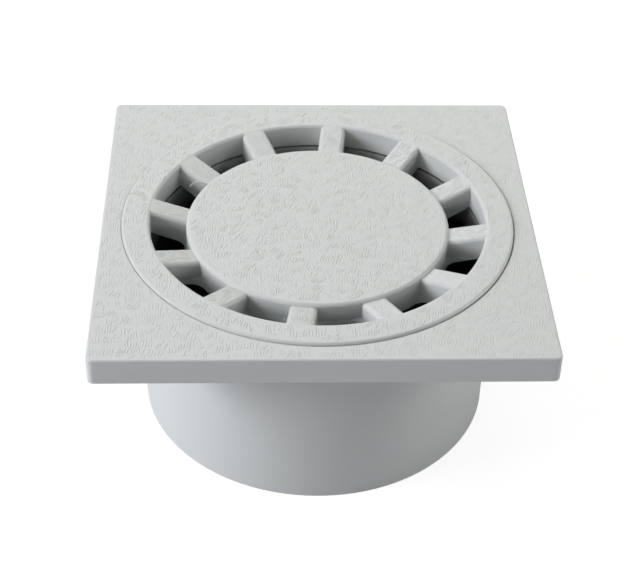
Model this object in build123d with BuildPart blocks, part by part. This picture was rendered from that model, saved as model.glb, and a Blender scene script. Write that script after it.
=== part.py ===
from build123d import *
import os
from math import atan2, cos, radians, sin

# Square floor gully trap: a plate with a round grate, a well that is also the spigot,
# and a bell over a standpipe that hold the water seal.
# Millimetres, +Z up. The origin is the centre of the spigot's rim, which the trap stands on.

# Driving dimensions of the spigot and the well inside it
total_height = 48.8
spigot_radius = 41.75
spigot_wall = 2.75
spigot_root_radius = 0.8

# Driving dimensions of the trough and the standpipe at the bottom of the well
floor_rise = 3.0
floor_thickness = 2.0
trough_corner_radius = 1.5
standpipe_gap = 7.2
standpipe_wall = 2.0
standpipe_headroom = 8.0

# Driving dimensions of the square plate
plate_thickness = 6.4
plate_rim = 4.43
plate_corner_radius = 1.5
plate_edge_radius = 0.45
plate_lower_edge_radius = 0.2
plate_skin = 2.2
plate_skirt = 2.2
pocket_length = 28.0
pocket_corner_radius = 1.0
pocket_rib = 1.8

# Driving dimensions of the recess that the grate lies in
recess_clearance = 0.12
recess_wall = 1.7
recess_edge_bevel = 0.2
ledge_thickness = 2.0
ledge_bevel = 0.2

# Driving dimensions of the grate's ring
ring_width = 6.45
ring_depth = 5.6
ring_proud = 0.6
ring_outer_edge_radius = 0.6
ring_inner_edge_radius = 0.8
ring_foot_chamfer = 0.3
ring_groove_width = 2.4
ring_skin = 2.0
ring_skirt_gap = 0.4

# Driving dimensions of the grate's sunk disc
slot_length = 8.4
disc_drop = 1.0
disc_depth = 6.5
disc_edge_radius = 0.9
disc_skin = 2.2
disc_wall = 2.0

# Driving dimensions of the bars between the slots
bar_count = 12
bar_width = 6.1
bar_depth = 5.8
bar_drop = 0.75
bar_turn = -7.5
bar_edge_radius = 1.0
bar_root = 1.0
lip_width = 0.5
lip_taper = 14.0
lip_height = 1.8
lip_corner_radius = 2.2

# Driving dimensions of the bell and of the collar that holds it
bell_inset = 2.6
bell_wall = 1.8
bell_rim_gap = 6.0
bell_shoulder_radius = 3.0
bell_ceiling_radius = 1.2
collar_wall = 2.0
peg_radius = 6.0
peg_length = 3.5
peg_tip_chamfer = 0.4
peg_clearance = 0.05

# The grate lies loose in its recess, pushed to one side, and the bell with it
grate_shift = 0.08
grate_shift_turn = 160.0

# Radii that follow, from the outside in. The well is as wide as the ring's opening.
well_radius = spigot_radius - spigot_wall
ring_radius = well_radius + ring_width
recess_radius = ring_radius + recess_clearance
boss_radius = recess_radius + recess_wall
disc_radius = well_radius - slot_length
bell_radius = disc_radius - bell_inset
bell_inner_radius = bell_radius - bell_wall
standpipe_radius = bell_inner_radius - standpipe_gap
outlet_radius = standpipe_radius - standpipe_wall

# Heights that follow
plate_bottom = total_height - plate_thickness
ledge_height = total_height - ring_depth
boss_bottom = ledge_height - ledge_thickness
floor_top = floor_rise + floor_thickness
ring_top = total_height + ring_proud
disc_top = total_height - disc_drop
disc_bottom = disc_top - disc_depth
bell_top = disc_bottom
bell_ceiling = bell_top - bell_wall
bell_rim = floor_top + bell_rim_gap
standpipe_top = bell_ceiling - standpipe_headroom


def nearest_vertex(section, place):
    """The corner of a section that lies nearest to a place in it."""
    return section.vertices().sort_by_distance(place)[0]


# Body: plate, well, spigot, trough and standpipe in one moulding
half_side = recess_radius + plate_rim
pocket_centre = half_side - plate_skirt - pocket_length / 2
pocket_depth = plate_thickness - plate_skin

with BuildPart() as body:
    # Spigot and the boss around the recess, still solid
    with BuildSketch(Plane.XZ) as round_section:
        with BuildLine():
            Polyline(
                (0, 0),
                (spigot_radius, 0),
                (spigot_radius, boss_bottom),
                (boss_radius, boss_bottom),
                (boss_radius, total_height),
                (0, total_height),
                close=True,
            )
        make_face()
        fillet(nearest_vertex(round_section, (spigot_radius, boss_bottom)), spigot_root_radius)
    revolve(axis=Axis.Z)

    # Square plate with its rounded upper edge
    with BuildSketch(Plane.XY.offset(plate_bottom)):
        RectangleRounded(2 * half_side, 2 * half_side, plate_corner_radius)
    extrude(amount=plate_thickness)
    plate_face = body.faces().sort_by(Axis.Z)[-1]
    fillet(plate_face.outer_wire().edges(), plate_edge_radius)
    plate_underside = body.faces().filter_by_position(Axis.Z, plate_bottom, plate_bottom)[0]
    fillet(plate_underside.outer_wire().edges(), plate_lower_edge_radius)

    # Hollow corners under the plate, each with a rib towards the corner
    with BuildSketch(Plane.XY.offset(plate_bottom)) as corner_pockets:
        with GridLocations(2 * pocket_centre, 2 * pocket_centre, 2, 2):
            Rectangle(pocket_length, pocket_length)
        Circle(boss_radius, mode=Mode.SUBTRACT)
        with PolarLocations(0, 2, start_angle=45, angular_range=180):
            Rectangle(4 * half_side, pocket_rib, mode=Mode.SUBTRACT)
        fillet(corner_pockets.vertices(), pocket_corner_radius)
    extrude(amount=pocket_depth, mode=Mode.SUBTRACT)

    # Recess with the grate's ledge, and the well below it
    with BuildSketch(Plane.XZ) as well_section:
        with BuildLine():
            Polyline(
                (0, floor_top),
                (well_radius, floor_top),
                (well_radius, ledge_height - ledge_bevel),
                (well_radius + ledge_bevel, ledge_height),
                (recess_radius, ledge_height),
                (recess_radius, total_height - recess_edge_bevel),
                (recess_radius + recess_edge_bevel, total_height),
                (0, total_height),
                close=True,
            )
        make_face()
        fillet(nearest_vertex(well_section, (well_radius, floor_top)), trough_corner_radius)
    revolve(axis=Axis.Z, mode=Mode.SUBTRACT)

    # Open end of the spigot, below the trough's floor
    with BuildSketch(Plane.XY):
        Circle(well_radius)
    extrude(amount=floor_rise, mode=Mode.SUBTRACT)

    # Standpipe, open through the floor
    with BuildSketch(Plane.XY.offset(floor_rise)):
        Circle(standpipe_radius)
    extrude(amount=standpipe_top - floor_rise)
    with BuildSketch(Plane.XY.offset(floor_rise)):
        Circle(outlet_radius)
    extrude(amount=standpipe_top - floor_rise, mode=Mode.SUBTRACT)

# Grate: ring, bars and sunk disc in one moulding
bar_top_reach = well_radius + ring_inner_edge_radius
bar_inner_top = disc_top - bar_drop
bar_slope = atan2(ring_top - bar_inner_top, bar_top_reach - disc_radius)
bar_start_radius = disc_radius - bar_root
bar_start_height = bar_inner_top - bar_root * sin(bar_slope) / cos(bar_slope)
bar_length = (bar_top_reach - bar_start_radius) / cos(bar_slope)
bar_inner_bottom = bar_inner_top - bar_depth
bar_outer_bottom = ring_top - bar_depth
lip_radius = disc_radius + lip_width
groove_middle = (well_radius + ring_radius) / 2
skirt_bottom = ledge_height + ring_skirt_gap
collar_bore_radius = peg_radius + peg_clearance
collar_radius = collar_bore_radius + collar_wall

with BuildPart() as grate:
    # Thin lip around the foot of the bars and the disc, which narrows the slots there
    with BuildSketch(Plane.XY.offset(disc_bottom)) as lip_outline:
        with PolarLocations(0, bar_count, start_angle=bar_turn):
            Rectangle(
                well_radius,
                bar_width + 2 * lip_width,
                align=(Align.MIN, Align.CENTER),
            )
        Circle(lip_radius)
        inner_corners = lip_outline.vertices().group_by(SortBy.DISTANCE)[0]
        fillet(inner_corners, lip_corner_radius)
    extrude(amount=lip_height, taper=lip_taper)
    with BuildSketch(Plane.XZ):
        with BuildLine():
            Polyline(
                (disc_radius, bar_inner_bottom),
                (bar_top_reach, bar_outer_bottom),
                (bar_top_reach, disc_bottom - lip_height),
                (disc_radius, disc_bottom - lip_height),
                close=True,
            )
        make_face()
    revolve(axis=Axis.Z, mode=Mode.SUBTRACT)

    # Ring and disc
    with BuildSketch(Plane.XZ) as ring_section:
        with BuildLine():
            Polyline(
                (well_radius, skirt_bottom),
                (groove_middle, skirt_bottom),
                (groove_middle, ledge_height),
                (ring_radius, ledge_height),
                (ring_radius, ring_top),
                (well_radius, ring_top),
                close=True,
            )
        make_face()
        fillet(nearest_vertex(ring_section, (well_radius, ring_top)), ring_inner_edge_radius)
        fillet(nearest_vertex(ring_section, (ring_radius, ring_top)), ring_outer_edge_radius)
        chamfer(nearest_vertex(ring_section, (ring_radius, ledge_height)), ring_foot_chamfer)
    revolve(axis=Axis.Z)
    with BuildSketch(Plane.XZ) as disc_section:
        with BuildLine():
            Polyline(
                (0, disc_bottom),
                (disc_radius, disc_bottom),
                (disc_radius, disc_top),
                (0, disc_top),
                close=True,
            )
        make_face()
        fillet(nearest_vertex(disc_section, (disc_radius, disc_top)), disc_edge_radius)
    revolve(axis=Axis.Z)

    # Bars that slope from the ring down to the disc, with rounded upper edges
    for bar in range(bar_count):
        bar_angle = radians(bar_turn + bar * 360 / bar_count)
        bar_plane = Plane(
            origin=(
                bar_start_radius * cos(bar_angle),
                bar_start_radius * sin(bar_angle),
                bar_start_height,
            ),
            x_dir=(-sin(bar_angle), cos(bar_angle), 0),
            z_dir=(
                cos(bar_angle) * cos(bar_slope),
                sin(bar_angle) * cos(bar_slope),
                sin(bar_slope),
            ),
        )
        with BuildSketch(bar_plane) as bar_section:
            Rectangle(bar_width, bar_depth * cos(bar_slope), align=(Align.CENTER, Align.MAX))
            fillet(bar_section.vertices().group_by(Axis.Y)[-1], bar_edge_radius)
        extrude(amount=bar_length)

    # Hollow underside of the disc, with the collar that holds the bell
    with BuildSketch(Plane.XY.offset(disc_bottom)):
        Circle(disc_radius - disc_wall)
        Circle(collar_radius, mode=Mode.SUBTRACT)
        Circle(collar_bore_radius)
    extrude(amount=disc_depth - disc_skin, mode=Mode.SUBTRACT)

    # Groove that hollows the ring from below
    with BuildSketch(Plane.XY.offset(ledge_height)):
        Circle(groove_middle + ring_groove_width / 2)
        Circle(groove_middle - ring_groove_width / 2, mode=Mode.SUBTRACT)
    extrude(amount=ring_top - ledge_height - ring_skin, mode=Mode.SUBTRACT)

# Bell: inverted cup with the peg that goes into the collar
with BuildPart() as bell:
    with BuildSketch(Plane.XZ) as bell_section:
        with BuildLine():
            Polyline(
                (0, bell_ceiling),
                (bell_inner_radius, bell_ceiling),
                (bell_inner_radius, bell_rim),
                (bell_radius, bell_rim),
                (bell_radius, bell_top),
                (peg_radius, bell_top),
                (peg_radius, bell_top + peg_length),
                (0, bell_top + peg_length),
                close=True,
            )
        make_face()
        fillet(nearest_vertex(bell_section, (bell_radius, bell_top)), bell_shoulder_radius)
        fillet(nearest_vertex(bell_section, (bell_inner_radius, bell_ceiling)), bell_ceiling_radius)
        chamfer(nearest_vertex(bell_section, (peg_radius, bell_top + peg_length)), peg_tip_chamfer)
    revolve(axis=Axis.Z)

# The grate and its bell in their place in the recess
shift_turn = radians(grate_shift_turn)
grate_place = Pos(grate_shift * cos(shift_turn), grate_shift * sin(shift_turn), 0)
body_piece = body.part
grate_piece = grate_place * grate.part
bell_piece = grate_place * bell.part

# One file for each piece
os.makedirs("parts", exist_ok=True)
for name, piece in (("body", body_piece), ("grate", grate_piece), ("bell", bell_piece)):
    piece.label = name
    export_step(piece, f"parts/{name}.step")
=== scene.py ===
# %% [markdown]
# # A floor gully trap in light-grey plastic
#
# The object is a square plate with a round grate in it, over a short pipe that is both
# the well of the trap and the spigot that goes down into the drain.
#
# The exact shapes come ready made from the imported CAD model: the body, the grate and the
# bell hidden inside. This lesson dresses them: a camera, a studio, a moulded finish, and
# the fine relief that a mould leaves, which is too small to belong in the CAD model.

import random
from itertools import product
from math import atan2, cos, hypot, radians, sin

import bmesh
import bpy
from mathutils import Matrix, Vector


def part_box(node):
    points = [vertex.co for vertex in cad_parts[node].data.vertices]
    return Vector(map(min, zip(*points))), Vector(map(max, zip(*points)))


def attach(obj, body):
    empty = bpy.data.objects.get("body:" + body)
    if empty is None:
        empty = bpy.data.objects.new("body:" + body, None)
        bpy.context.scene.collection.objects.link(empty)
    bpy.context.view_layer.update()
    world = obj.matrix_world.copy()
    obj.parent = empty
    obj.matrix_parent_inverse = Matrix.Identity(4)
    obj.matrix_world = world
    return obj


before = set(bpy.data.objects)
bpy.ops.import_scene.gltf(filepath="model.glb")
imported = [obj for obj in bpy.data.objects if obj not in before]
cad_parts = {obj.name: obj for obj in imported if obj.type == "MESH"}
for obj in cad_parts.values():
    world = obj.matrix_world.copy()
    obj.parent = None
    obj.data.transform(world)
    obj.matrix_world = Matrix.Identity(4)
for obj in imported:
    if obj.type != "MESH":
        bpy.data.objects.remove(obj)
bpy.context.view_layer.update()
bpy.ops.object.select_all(action="DESELECT")

MM = 0.001
body_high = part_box("body")[1]
grate_low, grate_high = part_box("grate")
plate_top = body_high.z
ring_top = grate_high.z
ring_radius = (grate_high.x - grate_low.x) / 2
grate_centre = (grate_low + grate_high) / 2
half_side = body_high.x
print("nodes:", sorted(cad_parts))
print(f"plate {2 * half_side / MM:.1f} mm square, its top {plate_top / MM:.1f} mm up")
print(f"grate off centre by {grate_centre.xy.length / MM:.2f} mm")

# %% [markdown]
# The frame tells how large each node is, but not where the slots run inside the grate.
# Those few sizes are repeated here from the CAD model, because the relief has to follow them.

# %% Sizes inside the grate
well_radius = 39.0 * MM
slot_length = 8.4 * MM
disc_drop = 1.0 * MM
bar_count = 12
bar_width = 6.1 * MM
bar_drop = 0.75 * MM
bar_turn = radians(-7.5)
bar_edge = 1.0 * MM
ring_inner_edge = 0.8 * MM
plate_thickness = 6.4 * MM

disc_radius = well_radius - slot_length
disc_top = plate_top - disc_drop
bar_foot = disc_top - bar_drop
bar_reach = well_radius + ring_inner_edge - disc_radius
bar_slope = atan2(ring_top - bar_foot, bar_reach)
print(f"disc {2 * disc_radius / MM:.1f} mm across, bars slope {bar_slope:.3f} rad")

# %% [markdown]
# ## The camera
#
# The camera comes first, because every later choice is judged through it. It could be
# moved by hand until the picture looks right. Here its place was worked out instead, from
# the plate's four edges and the grate's circles, whose true shapes are known.
#
# A camera looks along its own minus Z, with X to the right and Y up. Three unit vectors
# say where those point, and they become the columns of its matrix.

# %% Place the camera
camera_turn = radians(-2.8689)
camera_rise = radians(38.4417)
camera_roll = radians(1.6144)
camera_distance = 350.807 * MM
focal_pixels = 1594.14
picture_width = 640
sensor_width = 36.0
aim = Vector((-0.3905 * MM, -25.7149 * MM, plate_top))

backward = Vector(
    (
        sin(camera_turn) * cos(camera_rise),
        -cos(camera_turn) * cos(camera_rise),
        sin(camera_rise),
    )
)
level_right = Vector((cos(camera_turn), sin(camera_turn), 0))
level_up = backward.cross(level_right)
camera_right = cos(camera_roll) * level_right + sin(camera_roll) * level_up
camera_up = cos(camera_roll) * level_up - sin(camera_roll) * level_right

bpy.ops.object.camera_add()
camera = bpy.context.object
camera.name = "camera"
camera.matrix_world = Matrix((camera_right, camera_up, backward)).transposed().to_4x4()
camera.location = aim + backward * camera_distance
camera.data.sensor_fit = "HORIZONTAL"
camera.data.sensor_width = sensor_width
camera.data.lens = focal_pixels / picture_width * sensor_width
camera.data.clip_start = 0.01
bpy.context.scene.camera = camera
print(f"lens {camera.data.lens:.1f} mm, {camera_distance / MM:.0f} mm from its aim")

# %% [markdown]
# ## A way to write materials
#
# A material is a net of nodes. Adding each node and link by hand makes long scripts, so
# two small classes do it. `Wire` holds a node's output and lets it be added, subtracted,
# multiplied and compared as a number, where a comparison gives one or nought. `Finish`
# adds any other node in one call.

# %% Wires and finishes
class Wire:
    """A node's output, which sums, products and comparisons turn into Math nodes."""

    def __init__(self, finish, socket):
        self.finish = finish
        self.socket = socket

    def reckon(self, operation, first, second):
        sockets = {0: first, 1: second}
        return self.finish.node("ShaderNodeMath", {"operation": operation}, sockets)

    def beside(self, name):
        """Another output of the same node."""
        return Wire(self.finish, self.socket.node.outputs[name])

    def __add__(self, other):
        return self.reckon("ADD", self, other)

    def __radd__(self, other):
        return self.reckon("ADD", other, self)

    def __sub__(self, other):
        return self.reckon("SUBTRACT", self, other)

    def __rsub__(self, other):
        return self.reckon("SUBTRACT", other, self)

    def __mul__(self, other):
        return self.reckon("MULTIPLY", self, other)

    def __rmul__(self, other):
        return self.reckon("MULTIPLY", other, self)

    def __lt__(self, other):
        return self.reckon("LESS_THAN", self, other)

    def __gt__(self, other):
        return self.reckon("GREATER_THAN", self, other)


class Finish:
    """A tree of shader nodes, and the one way in which nodes are added to it."""

    def __init__(self, tree):
        self.tree = tree
        tree.nodes.clear()

    def node(self, kind, settings=None, sockets=None, output=0):
        """Adds a node, sets it up, fills its sockets and gives one of its outputs."""
        node = self.tree.nodes.new(kind)
        for name, value in (settings or {}).items():
            setattr(node, name, value)
        for name, value in (sockets or {}).items():
            if isinstance(value, Wire):
                self.tree.links.new(value.socket, node.inputs[name])
            else:
                node.inputs[name].default_value = value
        return Wire(self, node.outputs[output]) if node.outputs else None


def new_material(name):
    """A fresh material and the finish that fills it."""
    material = bpy.data.materials.new(name)
    material.use_nodes = True
    print("material", name)
    return material, Finish(material.node_tree)

# %% [markdown]
# ## The moulded plastic
#
# Body and grate are one pale grey polypropylene. It isn't one flat grey: the pigment
# clouds a little, and the skin is satin, a shade glossier where the mould was polished.
#
# A cloudy noise and a finer one mix two near greys, and the cloudy one also moves the
# roughness. Both read Object coordinates, so the pattern stays on the plastic.

# %% Clouded tint
MIX_A, MIX_B, MIX_RESULT = 6, 7, 2
cloud_size = 18 * MM
fleck_size = 1.1 * MM
cloud_share = 0.7
fleck_share = 0.3
noise_detail = 2.0


def noise(finish, place, size):
    """A soft noise between nought and one, with grains of a size."""
    sockets = {"Vector": place, "Scale": 1 / size, "Detail": noise_detail}
    return finish.node("ShaderNodeTexNoise", {}, sockets, "Fac")


def blend(finish, tint, share, shade):
    """Mixes a shade into a tint by a share."""
    return finish.node(
        "ShaderNodeMix",
        {"data_type": "RGBA"},
        {0: share, MIX_A: tint, MIX_B: (*shade, 1)},
        MIX_RESULT,
    )


def plastic_tint(finish, pale, deep):
    """The object's own place, its clouds, and a grey between two near shades."""
    place = finish.node("ShaderNodeTexCoord", output="Object")
    cloud = noise(finish, place, cloud_size)
    fleck = noise(finish, place, fleck_size)
    share = cloud_share * cloud + fleck_share * fleck
    return place, cloud, blend(finish, (*deep, 1), share, pale)

# %% [markdown]
# The skin of the mould has a very fine unevenness, far below a tenth of a millimetre. That
# is work for a bump, which only bends the light. Roughness sits around one value and moves
# a little with the clouds.

# %% Satin skin
skin_size = 0.38 * MM
skin_depth = 0.02 * MM
skin_strength = 0.35
sheen_spread = 0.12
plastic_ior = 1.49


def satin_skin(finish, place, cloud, tint, sheen):
    """The shader of a moulded surface, with the faint bump of its skin."""
    roughness = sheen - sheen_spread / 2 + sheen_spread * cloud
    skin = noise(finish, place, skin_size)
    bump = finish.node(
        "ShaderNodeBump", {}, {"Height": skin, "Strength": skin_strength, "Distance": skin_depth}
    )
    shader = finish.node(
        "ShaderNodeBsdfPrincipled",
        {},
        {"Base Color": tint, "Roughness": roughness, "Normal": bump, "IOR": plastic_ior},
    )
    finish.node("ShaderNodeOutputMaterial", {}, {"Surface": shader})


def moulded_plastic(name, pale, deep, sheen):
    """Plain moulded plastic between two near shades."""
    material, finish = new_material(name)
    place, cloud, tint = plastic_tint(finish, pale, deep)
    satin_skin(finish, place, cloud, tint, sheen)
    return material

# %% [markdown]
# Down in the well, where water stands, nothing pale shows in the slots, only deep shade,
# and that shade is painted into the plastic's colour there. A second material could hold it,
# but the edge between the two would be hard. A mask that grows with depth fades the
# painted shade in instead. The mask needs two facts of a place: how far it is from the
# trap's upright axis, and how high it lies.

# %% Masks from radius and height
def radius_of(finish, place):
    """The distance of a place from the trap's upright axis."""
    x = finish.node("ShaderNodeSeparateXYZ", {}, {"Vector": place}, "X")
    y = x.beside("Y")
    square_sum = x * x + y * y
    return finish.node("ShaderNodeMath", {"operation": "SQRT"}, {0: square_sum})


def height_of(finish, place):
    """The height of a place."""
    return finish.node("ShaderNodeSeparateXYZ", {}, {"Vector": place}, "Z")


def ramp(finish, depth, slope, start):
    """A value that grows with depth from a start, and stays between nought and one."""
    settings = {"operation": "MULTIPLY_ADD", "use_clamp": True}
    return finish.node("ShaderNodeMath", settings, {0: depth, 1: slope, 2: start})

# %% [markdown]
# Below the ledge the body's plastic gets painted shade that darkens steadily with depth. A
# thin band right at the ledge is dark at once: painted shade that draws the shadowed gap of
# the joint between the well and the grate.

# %% Body finish
pale_grey = (0.655, 0.670, 0.660)
deep_grey = (0.635, 0.650, 0.640)
# painted shade: the dark that the well and the joint band fade to
well_shade_grey = (0.030, 0.032, 0.034)
satin = 0.38
ledge_height = plate_top - 5.6 * MM
ledge_margin = 0.02 * MM
joint_height = 0.22 * MM
joint_shade = 0.92
well_fade = 8.0 * MM
well_first = 0.1
well_edge = 0.4 * MM


def body_finish(name):
    """Grey plastic with painted shade that darkens down inside the well."""
    material, finish = new_material(name)
    place, cloud, tint = plastic_tint(finish, pale_grey, deep_grey)
    depth = ledge_height - height_of(finish, place)
    inside = radius_of(finish, place) < well_radius + well_edge
    below = depth > -ledge_margin
    joint = depth < joint_height
    fading = ramp(finish, depth, (1 - well_first) / well_fade, well_first)
    # painted shade: the dark band at the joint, and the shade deepening down the well
    painted_shade = joint.reckon("MAXIMUM", joint_shade * joint, fading)
    shaded = blend(finish, tint, inside * below * painted_shade, well_shade_grey)
    satin_skin(finish, place, cloud, shaded, satin)
    return material


body_plastic = body_finish("body_plastic")

# %% [markdown]
# The grate's plastic is the same, and only the sides of its slots get a little painted
# shade, darker on their way down.

# %% Grate finish
# painted shade: the bluish dark painted on the sides of the slots
slot_shade_grey = (0.020, 0.055, 0.075)
slot_shade_edge = 0.3 * MM
slot_shade_top = plate_top - 2.4 * MM
slot_shade_depth = 5.1 * MM
slot_shade_most = 0.5


def grate_finish(name):
    """Grey plastic with a little painted shade down the sides of the slots."""
    material, finish = new_material(name)
    place, cloud, tint = plastic_tint(finish, pale_grey, deep_grey)
    inside = radius_of(finish, place) < well_radius - slot_shade_edge
    depth = slot_shade_top - height_of(finish, place)
    fading = ramp(finish, depth, 1 / slot_shade_depth, 0)
    # painted shade, deepening down the sides of the slots
    shaded = blend(finish, tint, slot_shade_most * inside * fading, slot_shade_grey)
    satin_skin(finish, place, cloud, shaded, satin)
    return material


grate_plastic = grate_finish("grate_plastic")

# %% [markdown]
# The bell is coloured near-black and duller than the rest, so that it paints the deep shade
# seen in the well through the slots. Now each of the three nodes gets its own plastic.

# %% Plastic on the three nodes
# near-black bell: painted shade for the well seen through the slots
bell_pale = (0.022, 0.023, 0.024)
bell_deep = (0.016, 0.017, 0.018)
dull = 0.62

bell_shade_plastic = moulded_plastic("bell_shade_plastic", bell_pale, bell_deep, dull)
for node_name, plastic in (
    ("body", body_plastic),
    ("grate", grate_plastic),
    ("bell", bell_shade_plastic),
):
    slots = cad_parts[node_name].material_slots
    for slot in slots:
        slot.material = plastic
    print(node_name, "has", len(slots), "material slot")

# %% [markdown]
# ## The moulded grain
#
# The upper faces of the real trap carry the fine grain of its mould: tufts of three to
# six short raised strokes, side by side, each tuft turned its own way. The light catches
# one flank of every stroke. The side faces and the spigot are smooth.
#
# A bump map could fake that, but a stroke is nearly half a millimetre wide, and real
# relief keeps its edge from every side and in every renderer. So a stroke is modelled
# by hand and then laid out some thousands of times. That is also why it has so few faces.
#
# Small helpers open a piece in edit mode and select its points by their place.

# %% Helpers for modelling
def edit(piece):
    """Opens one piece in edit mode, with nothing selected in it."""
    bpy.ops.object.select_all(action="DESELECT")
    bpy.context.view_layer.objects.active = piece
    piece.select_set(True)
    bpy.ops.object.mode_set(mode="EDIT")
    bpy.ops.mesh.select_mode(type="VERT")
    bpy.ops.mesh.select_all(action="DESELECT")


def pick(piece, wanted):
    """Selects the points of the piece in edit mode whose place is wanted."""
    mesh = bmesh.from_edit_mesh(piece.data)
    for point in mesh.verts:
        point.select_set(wanted(point.co))
    mesh.select_flush_mode()
    bmesh.update_edit_mesh(piece.data)


def close_edit(piece, sharpest):
    """Leaves edit mode and smooths the shading over edges below an angle."""
    bpy.ops.object.mode_set(mode="OBJECT")
    bpy.ops.object.transform_apply(location=True, rotation=True, scale=True)
    bpy.ops.object.shade_smooth_by_angle(angle=sharpest)
    bpy.ops.object.select_all(action="DESELECT")
    piece.data.calc_loop_triangles()
    return len(piece.data.loop_triangles)

# %% [markdown]
# A stroke starts as an eight-sided cylinder. It is stretched, its top is pinched to a
# crest that is shorter than its foot, and the doubled points of the crest are merged.
# For the bowed kind, the points in the middle are pushed a little to one side.

# %% Two strokes
stroke_sides = 8
stroke_width = 0.42 * MM
stroke_length = 1.7 * MM
stroke_height = 0.088 * MM
stroke_root = 0.02 * MM
stroke_bow = 0.12 * MM
crest_share = 0.78
crest_limit = radians(40)
middle_reach = 0.1 * stroke_length
merge_distance = 0.01 * MM


def model_stroke(name, bow):
    """One raised stroke along Y, its foot just below the surface at Z 0."""
    bpy.ops.mesh.primitive_cylinder_add(
        vertices=stroke_sides,
        radius=stroke_width / 2,
        depth=stroke_height + stroke_root,
        location=(0, 0, (stroke_height - stroke_root) / 2),
    )
    stroke = bpy.context.object
    stroke.name = name
    bpy.ops.object.transform_apply(location=True)
    edit(stroke)
    bpy.ops.mesh.select_all(action="SELECT")
    bpy.ops.transform.resize(
        value=(1, stroke_length / stroke_width, 1), center_override=(0, 0, 0)
    )
    pick(stroke, lambda place: place.z > 0)
    bpy.ops.transform.resize(
        value=(0, crest_share, 1), center_override=(0, 0, stroke_height)
    )
    bpy.ops.mesh.select_all(action="SELECT")
    bpy.ops.mesh.remove_doubles(threshold=merge_distance)
    pick(stroke, lambda place: abs(place.y) < middle_reach)
    bpy.ops.transform.translate(value=(bow, 0, 0))
    triangles = close_edit(stroke, crest_limit)
    print(name, "has", triangles, "triangles")
    return stroke


straight_stroke = model_stroke("straight_stroke", 0)
bowed_stroke = model_stroke("bowed_stroke", stroke_bow)

# %% [markdown]
# The crest of a stroke gets a painted highlight and its foot painted shade, so each level
# face has a grain material that fades from one to the other over the height of a stroke.
# On the sloping bars one grey, a little paler than the grate, does for both: a painted
# highlight on the strokes.

# %% Grain finish
# painted shade at a stroke's foot, painted highlight on its crest
foot_shade_grey = (0.590, 0.605, 0.595)
crest_highlight_grey = (0.765, 0.780, 0.770)
bar_grain_pale = (0.685, 0.700, 0.690)
bar_grain_deep = (0.665, 0.680, 0.670)


def grain_finish(name, face_height):
    """Grey plastic, with a painted highlight on a stroke's crest and painted shade at its foot.
    """
    material, finish = new_material(name)
    place, cloud, tint = plastic_tint(finish, foot_shade_grey, foot_shade_grey)
    height = height_of(finish, place)
    climb = ramp(finish, height - face_height, 1 / stroke_height, 0)
    # painted light: from painted shade at the foot to a painted highlight on the crest
    painted_relief_light = blend(finish, tint, climb, crest_highlight_grey)
    satin_skin(finish, place, cloud, painted_relief_light, satin)
    return material


plate_grain = grain_finish("plate_grain", plate_top)
ring_grain = grain_finish("ring_grain", ring_top)
disc_grain = grain_finish("disc_grain", disc_top)
# painted highlight: the bars' strokes are a little paler than the grate
bar_grain = moulded_plastic("bar_grain", bar_grain_pale, bar_grain_deep, satin)

# %% [markdown]
# The layout is worked out flat, in the plane of a face. First comes one tuft: its strokes
# stand side by side, slant and fan out a little, and are longer where they run along the
# plate. Every turn is in degrees here, and every choice comes from one seeded source, so
# each run gives the same tufts.

# %% One tuft
stroke_step = 0.62 * MM
stroke_counts = (3, 3, 4, 4, 5, 6)
stroke_slide = 0.12 * MM
stroke_sway = 5
shortest = 0.75
longest = 1.15
lengthwise = 0.5
tuft_lean = 15
tuft_spread = 13
widest_turn = 36
widest_fan = 9
steepest_slant = 0.45
chance = random.Random(41)


def tuft_strokes(centre_x, centre_y, side_sign):
    """Place, turn and stretch of each stroke of one tuft."""
    count = chance.choice(stroke_counts)
    lean = side_sign * chance.gauss(tuft_lean, tuft_spread)
    turn = radians(max(-widest_turn, min(widest_turn, lean)))
    fan = radians(chance.uniform(-widest_fan, widest_fan))
    slant = chance.uniform(-steepest_slant, steepest_slant)
    for number in range(count):
        side = number - (count - 1) / 2
        across = side * stroke_step
        along = side * slant * stroke_step + chance.uniform(-stroke_slide, stroke_slide)
        yield (
            centre_x + across * cos(turn) - along * sin(turn),
            centre_y + across * sin(turn) + along * cos(turn),
            turn + side * fan + radians(chance.uniform(-stroke_sway, stroke_sway)),
            chance.uniform(shortest, longest) * (1 + lengthwise * cos(turn) ** 2),
        )

# %% [markdown]
# Then the tufts fill a face. They sit on a loose grid, about as far apart as they are wide,
# and lean left and right in turn, like herringbone. A stroke is kept only if both its ends
# lie on the face and it crosses no stroke of an earlier tuft, which a set of small cells
# remembers. The grid is gone over three times, each time shifted by part of a step, and
# the later rounds fill the gaps.

# %% A face of tufts
plate_tuft_step = 2.4 * MM
disc_tuft_step = 2.15 * MM
tuft_jitter = 0.3
tuft_slide = 0.5
row_offset = 0.5
fills = ((0, 0), (0.5, 0.5), (0.25, 0.75))
cell_size = 0.34 * MM
cell_steps = 4


def square(half):
    """The limits of a square field around its centre."""
    return -half, half, -half, half


def cells_under(x, y, turn, stretch):
    """The cells of a fine grid that a stroke lies over."""
    half = stretch * stroke_length / 2
    cells = set()
    for step in range(-cell_steps, cell_steps + 1):
        out = step / cell_steps * half
        cell_x = round((x - out * sin(turn)) / cell_size)
        cell_y = round((y + out * cos(turn)) / cell_size)
        cells.add((cell_x, cell_y))
    return cells


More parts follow.
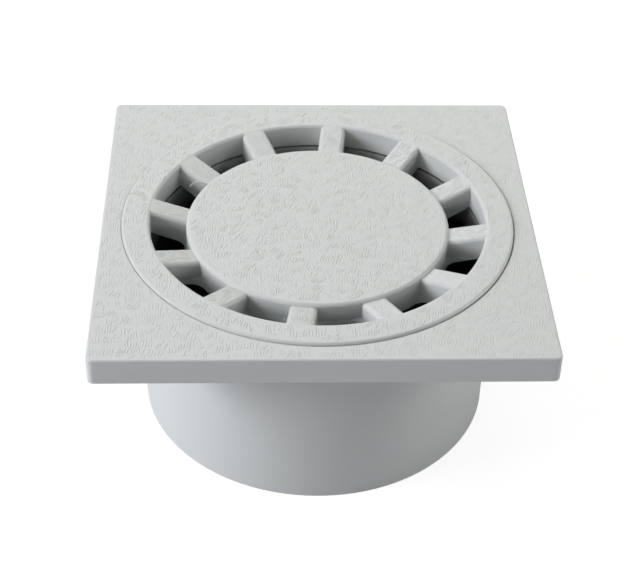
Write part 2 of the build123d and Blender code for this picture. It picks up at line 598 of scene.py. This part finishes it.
def lay_out(low_x, high_x, low_y, high_y, tuft_step, on_face):
    """Every stroke of a face, as its place, turn and stretch."""
    strokes = []
    taken = set()
    columns = round((high_x - low_x) / tuft_step)
    rows = round((high_y - low_y) / tuft_step)
    for (fill_x, fill_y), row, column in product(fills, range(rows + 1), range(columns + 1)):
        shift_x = fill_x + chance.uniform(-tuft_jitter, tuft_jitter)
        shift_y = fill_y + chance.uniform(-tuft_slide, tuft_slide)
        tuft_x = low_x + (column + row_offset * (row % 2) + shift_x) * tuft_step
        tuft_y = low_y + (row + shift_y) * tuft_step
        side_sign = 1 if (row + column) % 2 else -1
        fresh = set()
        for x, y, turn, stretch in tuft_strokes(tuft_x, tuft_y, side_sign):
            half = stretch * stroke_length / 2
            end_x = half * sin(turn)
            end_y = half * cos(turn)
            cells = cells_under(x, y, turn, stretch)
            if (
                on_face(x - end_x, y + end_y)
                and on_face(x + end_x, y - end_y)
                and not cells & taken
            ):
                strokes.append((x, y, turn, stretch))
                fresh |= cells
        taken |= fresh
    return strokes

# %% [markdown]
# A copy of the stroke goes on each place, with its own mesh, and the copies of a face are
# joined into one piece. The face's own plane is a matrix, so the same layout works on a
# sloping bar.

# %% Laying the strokes
bowed_every = 3


def lay_strokes(name, fields, plastic):
    """Joins copies of the strokes into one piece; a field is a plane and its layout."""
    copies = []
    for plane, layout in fields:
        for number, (x, y, turn, stretch) in enumerate(layout):
            kind = bowed_stroke if number % bowed_every == 0 else straight_stroke
            copy = bpy.data.objects.new(name, kind.data.copy())
            bpy.context.collection.objects.link(copy)
            copy.data.transform(
                plane
                @ Matrix.Translation((x, y, 0))
                @ Matrix.Rotation(turn, 4, "Z")
                @ Matrix.Diagonal((1, stretch, 1, 1))
            )
            copies.append(copy)
    bpy.ops.object.select_all(action="DESELECT")
    for copy in copies:
        copy.select_set(True)
    grain = copies[0]
    bpy.context.view_layer.objects.active = grain
    bpy.ops.object.join()
    grain.name = name
    bpy.ops.object.select_all(action="DESELECT")
    grain.data.materials.clear()
    grain.data.materials.append(plastic)
    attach(grain, "root")
    grain.data.calc_loop_triangles()
    print(name, len(copies), "strokes,", len(grain.data.loop_triangles), "triangles")
    return grain

# %% [markdown]
# The plate's grain stops short of its rounded edge and of the recess, and it is a little
# shallower than the grate's. The ring's stays between its two rounded edges, and the
# disc's inside its own.

# %% Grain on the plate, the ring and the disc
plate_grain_reach = half_side - 0.55 * MM
recess_grain_radius = ring_radius + 0.5 * MM
ring_grain_low = well_radius + 0.55 * MM
ring_grain_high = ring_radius - 0.4 * MM
disc_grain_radius = disc_radius - 0.8 * MM
plate_grain_share = 0.78


def on_plate(x, y):
    return max(abs(x), abs(y)) < plate_grain_reach and hypot(x, y) > recess_grain_radius


def on_ring(x, y):
    return ring_grain_low < hypot(x, y) < ring_grain_high


def on_disc(x, y):
    return hypot(x, y) < disc_grain_radius


shallower = Matrix.Scale(plate_grain_share, 4, (0, 0, 1))
plate_plane = Matrix.Translation((0, 0, plate_top)) @ shallower
plate_layout = lay_out(*square(half_side), plate_tuft_step, on_plate)
lay_strokes("grain_plate", [(plate_plane, plate_layout)], plate_grain)

ring_plane = Matrix.Translation((grate_centre.x, grate_centre.y, ring_top))
ring_layout = lay_out(*square(ring_radius), plate_tuft_step, on_ring)
lay_strokes("grain_ring", [(ring_plane, ring_layout)], ring_grain)

disc_plane = Matrix.Translation((grate_centre.x, grate_centre.y, disc_top))
disc_layout = lay_out(*square(disc_radius), disc_tuft_step, on_disc)
lay_strokes("grain_disc", [(disc_plane, disc_layout)], disc_grain)

# %% [markdown]
# Each bar gets its own small field. Its plane has Y along the bar and up the slope, X
# across it, and its origin where the bar meets the disc.

# %% Grain on the bars
bar_grain_half = bar_width / 2 - 0.85 * bar_edge
bar_grain_low = 0.5 * MM
bar_grain_high = bar_reach / cos(bar_slope) - 0.3 * MM


def on_bar(across, along):
    return abs(across) < bar_grain_half and bar_grain_low < along < bar_grain_high


def bar_plane(bar):
    """The plane of a bar's sloping top."""
    turn = bar_turn + bar * radians(360) / bar_count
    outward = Vector((cos(turn), sin(turn), 0))
    across = Vector((sin(turn), -cos(turn), 0))
    along = outward * cos(bar_slope) + Vector((0, 0, sin(bar_slope)))
    upward = across.cross(along)
    plane = Matrix((across, along, upward)).transposed().to_4x4()
    foot = Vector((grate_centre.x, grate_centre.y, bar_foot))
    plane.translation = foot + outward * disc_radius
    return plane


bar_field = (-bar_width / 2, bar_width / 2, 0, bar_grain_high)
bar_fields = [
    (bar_plane(bar), lay_out(*bar_field, plate_tuft_step, on_bar)) for bar in range(bar_count)
]
lay_strokes("grain_bars", bar_fields, bar_grain)
for stroke in (straight_stroke, bowed_stroke):
    bpy.data.objects.remove(stroke)

# %% [markdown]
# ## Flash
#
# The moulding isn't perfect. Where two halves of the mould met badly, a thread of plastic
# curls out from the left edge of a bar at the back left, and small burrs sit on the
# ring's inner edge and on the plate's lower front edge.
#
# The thread is a path with five points, thick at its root and thin at its tip. A path
# bends smoothly by itself, which a row of extruded faces would not. It is made a mesh at
# the end, like every other piece.

# %% Thread of flash
smooth_limit = radians(80)
thread_thickness = 0.2 * MM
thread_bar = 5
thread_route = (
    (2.95, 0.2, -0.35, 1.2),
    (3.05, 1.1, -0.15, 1.1),
    (3.5, 2.2, 0.1, 1.0),
    (4.9, 2.9, 0.2, 0.8),
    (6.4, 2.6, -0.3, 0.4),
)

bpy.ops.curve.primitive_nurbs_path_add()
thread = bpy.context.object
thread.name = "flash_thread"
thread_plane = bar_plane(thread_bar)
for point, (left, out, up, swell) in zip(thread.data.splines[0].points, thread_route):
    place = thread_plane @ Vector((-left * MM, out * MM, up * MM))
    point.co = (*place, 1)
    point.radius = swell
thread.data.splines[0].use_endpoint_u = True
thread.data.bevel_depth = thread_thickness
thread.data.bevel_resolution = 2
thread.data.use_fill_caps = True
thread.data.resolution_u = 6
bpy.ops.object.convert(target="MESH")
thread.data.materials.clear()
thread.data.materials.append(grate_plastic)
bpy.ops.object.shade_smooth_by_angle(angle=smooth_limit)
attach(thread, "root")
print("flash_thread", len(thread.data.vertices), "points")

# %% [markdown]
# A burr starts as a small sphere of few faces. It is flattened into a lump, and its upper
# half is drawn out to one side, as torn plastic is. Four copies go on their edges, turned
# along them.

# %% Burrs
burr_length = 0.7 * MM
burr_width = 0.34 * MM
burr_height = 0.3 * MM
burr_lean = 0.12 * MM
burr_bend = 0.2 * burr_height
burr_turns = (radians(35.2), radians(31.5), radians(56.0))
edge_inset = 0.3 * ring_inner_edge
nick_right = 18.5 * MM
nick_inset = 0.1 * MM
nick_rise = 0.12 * MM
nick_size = (0.5, 2.2, 0.8, 1)

bpy.ops.mesh.primitive_uv_sphere_add(segments=8, ring_count=6, radius=burr_length / 2)
burr = bpy.context.object
edit(burr)
bpy.ops.mesh.select_all(action="SELECT")
bpy.ops.transform.resize(
    value=(burr_width / burr_length, 1, burr_height / burr_length),
    center_override=(0, 0, 0),
)
pick(burr, lambda place: place.z > burr_bend)
bpy.ops.transform.translate(value=(0, burr_lean, 0))
burr_triangles = close_edit(burr, smooth_limit)

burr_places = [
    Matrix.Translation((grate_centre.x, grate_centre.y, ring_top - edge_inset))
    @ Matrix.Rotation(turn, 4, "Z")
    @ Matrix.Translation((well_radius + edge_inset, 0, 0))
    for turn in burr_turns
]
nick_height = plate_top - plate_thickness + nick_rise
nick = (
    Matrix.Translation((nick_right, -half_side + nick_inset, nick_height))
    @ Matrix.Rotation(radians(90), 4, "Z")
    @ Matrix.Diagonal(nick_size)
)
for name, place, plastic in [
    *((f"burr_{number}", place, grate_plastic) for number, place in enumerate(burr_places)),
    ("burr_plate", nick, body_plastic),
]:
    copy = bpy.data.objects.new(name, burr.data.copy())
    bpy.context.collection.objects.link(copy)
    copy.data.transform(place)
    copy.data.materials.clear()
    copy.data.materials.append(plastic)
    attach(copy, "root")
    print(name, "has", burr_triangles, "triangles")
bpy.data.objects.remove(burr)

# %% [markdown]
# ## The studio
#
# A white sweep of floor, a pale world and a few large soft lamps. The lamps stay at a
# level where a colour renders about as it is written, and the white of the background
# comes from what camera rays see, not from more light. The left lamp is the strongest and
# stands low, and seen from the right its glare would drown the grain, so it is hidden
# from glossy rays.

# %% Floor and world
floor_size = 6
white = (1, 1, 1, 1)
paper_grey = (0.71, 0.71, 0.735, 1)
seen_grey = (0.3, 0.3, 0.3, 1)
seen_glow = 0.84

bpy.ops.mesh.primitive_plane_add(size=floor_size)
floor = bpy.context.object
floor.name = "floor"
floor_paint, floor_finish = new_material("floor_paint")
seen = floor_finish.node("ShaderNodeLightPath", output="Is Camera Ray")
paper = floor_finish.node("ShaderNodeBsdfDiffuse", {}, {"Color": paper_grey})
dim_paper = floor_finish.node("ShaderNodeBsdfDiffuse", {}, {"Color": seen_grey})
glow = floor_finish.node("ShaderNodeEmission", {}, {"Color": white, "Strength": seen_glow})
shown = floor_finish.node("ShaderNodeAddShader", {}, {0: dim_paper, 1: glow})
surface = floor_finish.node("ShaderNodeMixShader", {}, {0: seen, 1: paper, 2: shown})
floor_finish.node("ShaderNodeOutputMaterial", {}, {"Surface": surface})
floor.data.materials.append(floor_paint)

world = bpy.data.worlds.new("studio")
world.use_nodes = True
bpy.context.scene.world = world
sky = Finish(world.node_tree)
rays = sky.node("ShaderNodeLightPath", output="Is Camera Ray")
shine = rays.beside("Is Glossy Ray")
through = rays.beside("Is Transmission Ray")
strength = rays + shine + through
dome = sky.node("ShaderNodeBackground", {}, {"Color": white, "Strength": strength})
sky.node("ShaderNodeOutputWorld", {}, {"Surface": dome})
print(f"floor {floor_size} m across, under the world {world.name}")

# %% Lamps
lamp_distance = 0.9


def soft_lamp(name, turn, rise, size, watts, colour):
    """A square soft lamp that faces the trap from a compass turn and a rise, in degrees."""
    direction = Vector(
        (
            sin(radians(turn)) * cos(radians(rise)),
            -cos(radians(turn)) * cos(radians(rise)),
            sin(radians(rise)),
        )
    )
    bpy.ops.object.light_add(type="AREA", location=direction * lamp_distance)
    lamp = bpy.context.object
    lamp.name = name
    lamp.rotation_euler = direction.to_track_quat("Z", "Y").to_euler()
    lamp.data.shape = "SQUARE"
    lamp.data.size = size
    lamp.data.energy = watts
    lamp.data.color = colour
    print(name, watts, "W")


for lamp_settings in (
    ("left_lamp", -80, 25, 0.4, 6.2, (0.915, 0.945, 1.0)),
    ("left_front_lamp", -60, 40, 0.7, 1.6, (1.0, 0.98, 0.93)),
    ("back_lamp", 180, 40, 0.7, 2.3, (1, 0.99, 0.955)),
    ("high_back_lamp", 180, 65, 0.4, 1.3, (1, 0.99, 0.955)),
    ("right_lamp", 80, 30, 0.3, 1.5, (1, 1, 1)),
    ("low_right_lamp", 95, 12, 0.3, 1.5, (1, 1, 1)),
    ("low_front_lamp", 0, 10, 0.25, 0.4, (1, 1, 1)),
):
    soft_lamp(*lamp_settings)
bpy.data.objects["left_lamp"].visible_glossy = False

# %% [markdown]
# ## Closing
#
# Blender's view transform is set to Standard, so that a colour comes out as it was written.

# %% Close
bpy.context.scene.view_settings.view_transform = "Standard"
